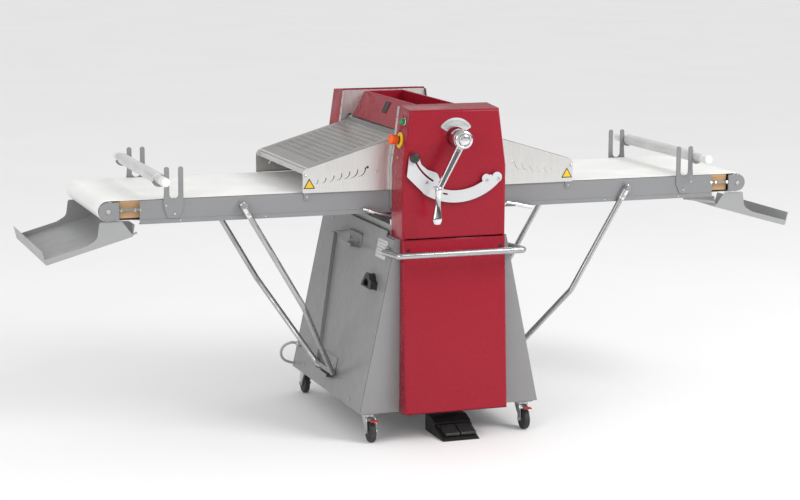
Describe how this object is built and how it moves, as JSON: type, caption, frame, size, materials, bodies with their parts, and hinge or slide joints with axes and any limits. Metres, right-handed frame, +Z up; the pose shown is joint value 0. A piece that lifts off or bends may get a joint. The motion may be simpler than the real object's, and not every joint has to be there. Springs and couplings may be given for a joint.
{
  "type": "dough sheeter",
  "caption": "Castor-mounted reversible dough sheeter with a roller head, thickness lever, hinged guards and two folding belt tables with end trays.",
  "frame": {"origin": "on the floor under the middle of the overall box; the belts' centre line lies 48.5 mm behind it", "axes": "+X towards the right-hand table, +Y towards the back, away from the lever and pedals, +Z up"},
  "size_m": [3.082, 1.037, 1.282],
  "materials": {
    "grey_paint": "semi-gloss powder coat",
    "red_paint": "gloss enamel",
    "stainless": "brushed",
    "rail_metal": "satin",
    "white_enamel": "satin",
    "chrome": "polished",
    "ground_steel": "ground",
    "dark_steel": "oiled",
    "motor_grey": "painted",
    "black_plastic": "moulded",
    "black_paint": "matt",
    "yellow_plastic": "gloss",
    "green_plastic": "gloss",
    "orange_plastic": "gloss",
    "belt_cloth": "coated conveyor cloth",
    "plywood": "birch plywood",
    "pin_plastic": "satin",
    "pan_grey": "semi-gloss",
    "cable_rubber": "flexible sheath",
    "zinc_steel": "zinc plated",
    "wheel_rubber": "rubber tread"
  },
  "bodies": {
    "root": {"base_frame": "grey_paint", "side_panels": "grey_paint", "lower_front_cover": "red_paint", "upper_front_cover": "red_paint", "upper_rear_cover": "red_paint", "head_plates": "stainless", "roller_hood": "red_paint", "flour_trough": "red_paint", "scale_plate": "white_enamel", "quadrant_plate": "white_enamel", "button_bezels": "yellow_plastic", "drive_chain": "dark_steel", "scrapers": "stainless", "drive_motor": "motor_grey", "control_box": "black_plastic", "strut_brackets": "grey_paint", "cable_holder": "black_plastic", "mains_cable": "cable_rubber", "bumper_rail": "chrome", "cover_screws": "ground_steel", "pedal_base": "black_paint"},
    "adjusting_lever": {"adjusting_lever": "chrome"},
    "stop_knob": {"stop_knob": "black_plastic"},
    "start_button": {"start_button": "green_plastic"},
    "estop_button": {"estop_button": "orange_plastic"},
    "roller_carriage": {"roller_carriage": "dark_steel"},
    "upper_roller": {"upper_roller": "ground_steel"},
    "lower_roller": {"lower_roller": "ground_steel"},
    "motor_sprocket": {"motor_sprocket": "dark_steel"},
    "direction_rod": {"direction_rod": "chrome"},
    "pedal_left": {"pedal_left": "black_plastic"},
    "pedal_right": {"pedal_right": "black_plastic"},
    "table_left": {"table_frame_left": "rail_metal", "table_bed_left": "plywood", "belt_left": "belt_cloth", "pin_holders_left": "rail_metal", "catch_pan_left": "pan_grey"},
    "strut_left": {"strut_left": "chrome"},
    "guard_left": {"guard_left": "stainless"},
    "drive_roller_left": {"drive_roller_left": "ground_steel"},
    "end_roller_left": {"end_roller_left": "ground_steel"},
    "rolling_pin_left": {"rolling_pin_left": "pin_plastic"},
    "table_right": {"table_frame_right": "rail_metal", "table_bed_right": "plywood", "belt_right": "belt_cloth", "pin_holders_right": "rail_metal", "catch_pan_right": "pan_grey"},
    "strut_right": {"strut_right": "chrome"},
    "guard_right": {"guard_right": "stainless"},
    "drive_roller_right": {"drive_roller_right": "ground_steel"},
    "end_roller_right": {"end_roller_right": "ground_steel"},
    "rolling_pin_right": {"rolling_pin_right": "pin_plastic"},
    "castor_fork_front_left": {"castor_fork_front_left": "zinc_steel"},
    "castor_wheel_front_left": {"castor_wheel_front_left": "wheel_rubber"},
    "castor_fork_front_right": {"castor_fork_front_right": "zinc_steel"},
    "castor_wheel_front_right": {"castor_wheel_front_right": "wheel_rubber"},
    "castor_fork_rear_left": {"castor_fork_rear_left": "zinc_steel"},
    "castor_wheel_rear_left": {"castor_wheel_rear_left": "wheel_rubber"},
    "castor_fork_rear_right": {"castor_fork_rear_right": "zinc_steel"},
    "castor_wheel_rear_right": {"castor_wheel_rear_right": "wheel_rubber"}
  },
  "joints": [
    {"name": "lever_turn", "type": "hinge", "parent": "root", "child": "adjusting_lever", "pos_m": [0, 0.0485, 1.167], "axis": [0, 1, 0], "range_deg": [-70, 17]},
    {"name": "carriage_lift", "type": "slide", "parent": "root", "child": "roller_carriage", "axis": [0, 0, 1], "range_m": [-0.0068, 0.0276]},
    {"name": "stop_knob_shift", "type": "hinge", "parent": "root", "child": "stop_knob", "pos_m": [0, 0.0485, 1.167], "axis": [0, -1, 0], "range_deg": [0, 24]},
    {"name": "start_press", "type": "slide", "parent": "root", "child": "start_button", "axis": [0.9905, 0, -0.1372], "range_m": [0, 0.004]},
    {"name": "estop_press", "type": "slide", "parent": "root", "child": "estop_button", "axis": [0.9905, 0, -0.1372], "range_m": [0, 0.005]},
    {"name": "motor_spin", "type": "hinge", "parent": "root", "child": "motor_sprocket", "pos_m": [0, 0.0485, 0.42], "axis": [0, 1, 0], "continuous": true},
    {"name": "lower_roller_spin", "type": "hinge", "parent": "root", "child": "lower_roller", "pos_m": [0, 0.0485, 0.92], "axis": [0, 1, 0], "continuous": true},
    {"name": "upper_roller_spin", "type": "hinge", "parent": "roller_carriage", "child": "upper_roller", "pos_m": [0, 0.0485, 1.004], "axis": [0, 1, 0], "continuous": true},
    {"name": "direction_rock", "type": "hinge", "parent": "root", "child": "direction_rod", "pos_m": [0, 0.0485, 0.858], "axis": [0, 1, 0], "range_deg": [-4, 4]},
    {"name": "pedal_left_press", "type": "hinge", "parent": "root", "child": "pedal_left", "pos_m": [-0.0105, -0.38406, 0.0398], "axis": [1, 0, 0], "range_deg": [0, 4]},
    {"name": "pedal_right_press", "type": "hinge", "parent": "root", "child": "pedal_right", "pos_m": [0.055, -0.38406, 0.0398], "axis": [1, 0, 0], "range_deg": [0, 4]},
    {"name": "table_fold_left", "type": "hinge", "parent": "root", "child": "table_left", "pos_m": [-0.15, 0.0485, 0.92], "axis": [0, 1, 0], "range_deg": [0, 65]},
    {"name": "strut_swing_left", "type": "hinge", "parent": "table_left", "child": "strut_left", "pos_m": [-0.789, 0.0485, 0.921], "axis": [0, 1, 0], "range_deg": [-45, 0]},
    {"name": "guard_lift_left", "type": "hinge", "parent": "root", "child": "guard_left", "pos_m": [-0.155, 0.0485, 1.175], "axis": [0, 1, 0], "range_deg": [0, 111]},
    {"name": "drive_roller_spin_left", "type": "hinge", "parent": "root", "child": "drive_roller_left", "pos_m": [-0.15, 0.0485, 0.92], "axis": [0, 1, 0], "continuous": true},
    {"name": "end_roller_spin_left", "type": "hinge", "parent": "table_left", "child": "end_roller_left", "pos_m": [-1.294, 0.0485, 0.92], "axis": [0, 1, 0], "continuous": true},
    {"name": "rolling_pin_spin_left", "type": "hinge", "parent": "table_left", "child": "rolling_pin_left", "pos_m": [-1.104, 0.0485, 1.033], "axis": [0, 1, 0], "continuous": true},
    {"name": "table_fold_right", "type": "hinge", "parent": "root", "child": "table_right", "pos_m": [0.15, 0.0485, 0.92], "axis": [0, -1, 0], "range_deg": [0, 65]},
    {"name": "strut_swing_right", "type": "hinge", "parent": "table_right", "child": "strut_right", "pos_m": [0.789, 0.0485, 0.921], "axis": [0, -1, 0], "range_deg": [-45, 0]},
    {"name": "guard_lift_right", "type": "hinge", "parent": "root", "child": "guard_right", "pos_m": [0.155, 0.0485, 1.175], "axis": [0, -1, 0], "range_deg": [0, 111]},
    {"name": "drive_roller_spin_right", "type": "hinge", "parent": "root", "child": "drive_roller_right", "pos_m": [0.15, 0.0485, 0.92], "axis": [0, 1, 0], "continuous": true},
    {"name": "end_roller_spin_right", "type": "hinge", "parent": "table_right", "child": "end_roller_right", "pos_m": [1.294, 0.0485, 0.92], "axis": [0, 1, 0], "continuous": true},
    {"name": "rolling_pin_spin_right", "type": "hinge", "parent": "table_right", "child": "rolling_pin_right", "pos_m": [1.104, 0.0485, 1.033], "axis": [0, 1, 0], "continuous": true},
    {"name": "castor_swivel_front_left", "type": "hinge", "parent": "root", "child": "castor_fork_front_left", "pos_m": [-0.318, -0.3455, 0.1], "axis": [0, 0, 1], "continuous": true},
    {"name": "castor_roll_front_left", "type": "hinge", "parent": "castor_fork_front_left", "child": "castor_wheel_front_left", "pos_m": [-0.318, -0.3755, 0.04], "axis": [1, 0, 0], "continuous": true},
    {"name": "castor_swivel_front_right", "type": "hinge", "parent": "root", "child": "castor_fork_front_right", "pos_m": [0.318, -0.3455, 0.1], "axis": [0, 0, 1], "continuous": true},
    {"name": "castor_roll_front_right", "type": "hinge", "parent": "castor_fork_front_right", "child": "castor_wheel_front_right", "pos_m": [0.318, -0.3755, 0.04], "axis": [1, 0, 0], "continuous": true},
    {"name": "castor_swivel_rear_left", "type": "hinge", "parent": "root", "child": "castor_fork_rear_left", "pos_m": [-0.318, 0.4425, 0.1], "axis": [0, 0, 1], "continuous": true},
    {"name": "castor_roll_rear_left", "type": "hinge", "parent": "castor_fork_rear_left", "child": "castor_wheel_rear_left", "pos_m": [-0.318, 0.4725, 0.04], "axis": [1, 0, 0], "continuous": true},
    {"name": "castor_swivel_rear_right", "type": "hinge", "parent": "root", "child": "castor_fork_rear_right", "pos_m": [0.318, 0.4425, 0.1], "axis": [0, 0, 1], "continuous": true},
    {"name": "castor_roll_rear_right", "type": "hinge", "parent": "castor_fork_rear_right", "child": "castor_wheel_rear_right", "pos_m": [0.318, 0.4725, 0.04], "axis": [1, 0, 0], "continuous": true}
  ],
  "couplings": [
    {"joint": "carriage_lift", "follows": "lever_turn", "m_per_rad": -0.0224},
    {"joint": "lower_roller_spin", "follows": "motor_spin", "ratio": 1},
    {"joint": "upper_roller_spin", "follows": "motor_spin", "ratio": -1},
    {"joint": "strut_swing_left", "follows": "table_fold_left", "ratio": -0.69},
    {"joint": "guard_lift_left", "follows": "table_fold_left", "ratio": 1.7},
    {"joint": "drive_roller_spin_left", "follows": "motor_spin", "ratio": 1},
    {"joint": "end_roller_spin_left", "follows": "motor_spin", "ratio": 1},
    {"joint": "strut_swing_right", "follows": "table_fold_right", "ratio": -0.69},
    {"joint": "guard_lift_right", "follows": "table_fold_right", "ratio": 1.7},
    {"joint": "drive_roller_spin_right", "follows": "motor_spin", "ratio": 1},
    {"joint": "end_roller_spin_right", "follows": "motor_spin", "ratio": 1}
  ]
}
